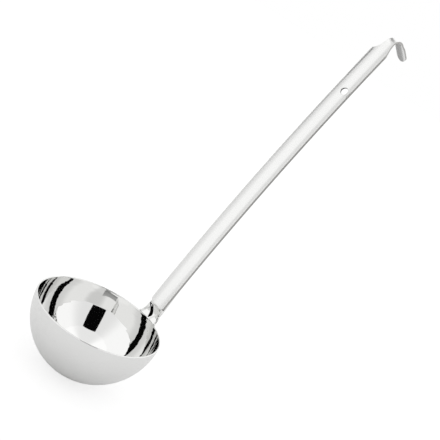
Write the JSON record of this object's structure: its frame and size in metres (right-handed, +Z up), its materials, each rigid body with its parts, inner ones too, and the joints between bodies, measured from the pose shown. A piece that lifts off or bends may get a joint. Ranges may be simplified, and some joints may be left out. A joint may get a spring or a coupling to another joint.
{
  "type": "soup ladle",
  "caption": "Stainless soup ladle: deep round bowl, mirror inside and satin outside, with a long trough-shaped satin handle bent into a hanging hook.",
  "frame": {"origin": "centre of the bowl's rim circle, level with the top of the rim", "axes": "+Z points up out of the bowl, +X points from the bowl's centre to the side where the handle rises, Y = 0 is the plane of symmetry"},
  "size_m": [0.2117, 0.1, 0.3217],
  "materials": {
    "polished_steel": "mirror polished inside, satin outside",
    "satin_steel": "satin, fine grain along the handle",
    "weld_steel": "fused, sealed inside the lap"
  },
  "bodies": {
    "root": {"bowl": "polished_steel", "handle": "satin_steel", "spot_welds": "weld_steel"}
  },
  "joints": []
}
